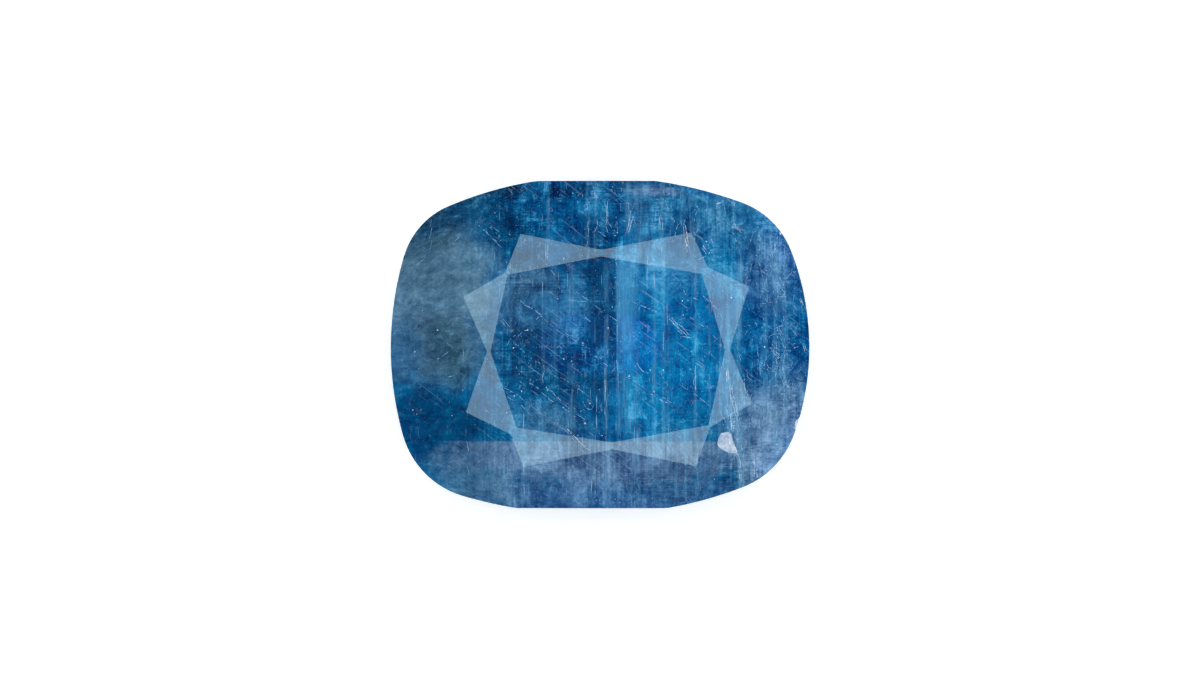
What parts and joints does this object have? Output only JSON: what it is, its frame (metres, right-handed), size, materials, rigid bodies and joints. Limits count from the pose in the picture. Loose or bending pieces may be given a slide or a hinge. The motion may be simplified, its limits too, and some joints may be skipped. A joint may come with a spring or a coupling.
{
  "type": "faceted sapphire gemstone",
  "caption": "Loose cushion-cut blue sapphire with a brilliant crown, a stepped pavilion and a flat culet.",
  "frame": {"origin": "on the resting face, under the middle of the stone's outline", "axes": "+Z out of the table, +X along the stone's length, +Y along its width"},
  "size_m": [0.012, 0.0094, 0.0058],
  "materials": {
    "sapphire_body": "polished facets on a translucent, heavily included blue crystal"
  },
  "bodies": {
    "root": {"sapphire": "sapphire_body"}
  },
  "joints": []
}
